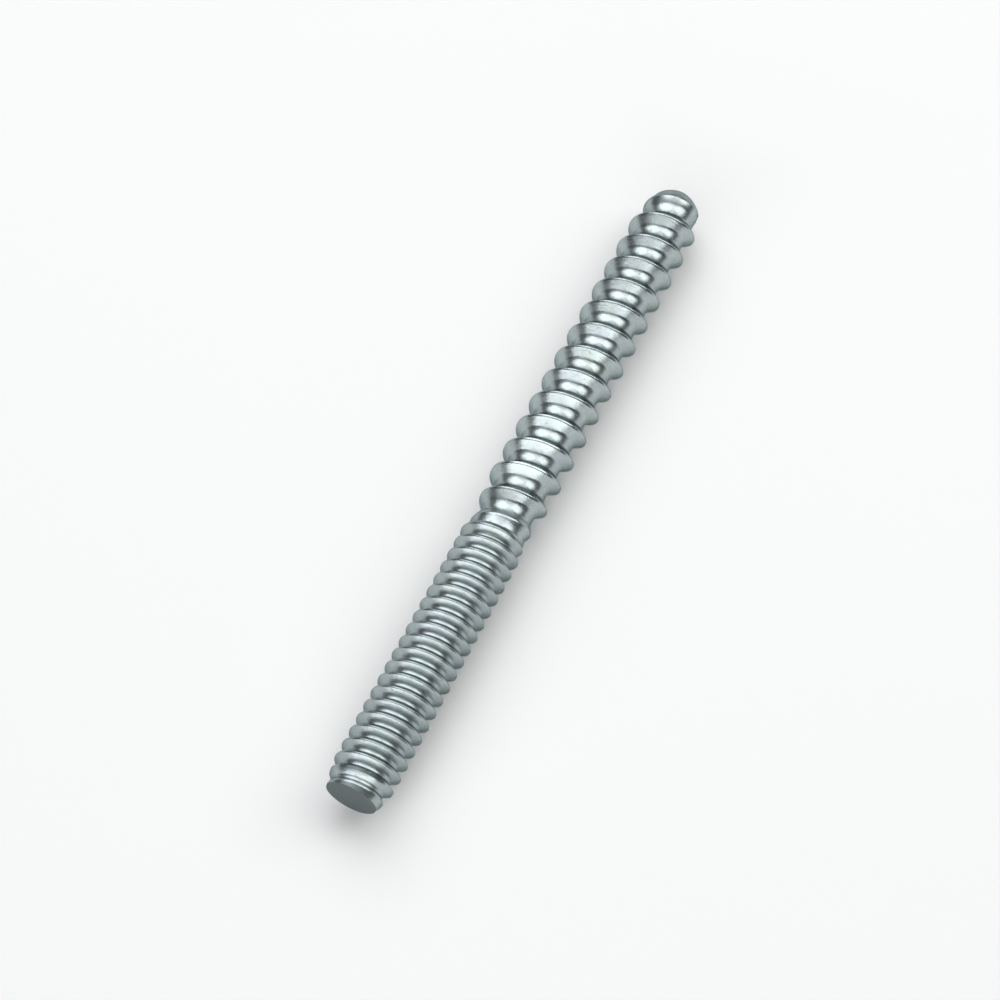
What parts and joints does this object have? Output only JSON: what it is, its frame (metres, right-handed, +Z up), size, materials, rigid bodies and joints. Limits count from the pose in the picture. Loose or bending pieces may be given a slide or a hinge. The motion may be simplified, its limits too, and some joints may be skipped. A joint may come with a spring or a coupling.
{
  "type": "hanger bolt",
  "caption": "Headless steel fastener with a machine-threaded stud at one end and a tapered wood screw thread with a blunt point at the other.",
  "frame": {"origin": "on the surface that the bolt lies on, under its axis and midway along its length", "axes": "+X along the bolt's axis towards the wood screw point, +Z up"},
  "size_m": [0.0538, 0.005, 0.005],
  "materials": {
    "zinc_plated_steel": "bright zinc plating over rolled steel"
  },
  "bodies": {
    "root": {"hanger_bolt": "zinc_plated_steel"}
  },
  "joints": []
}
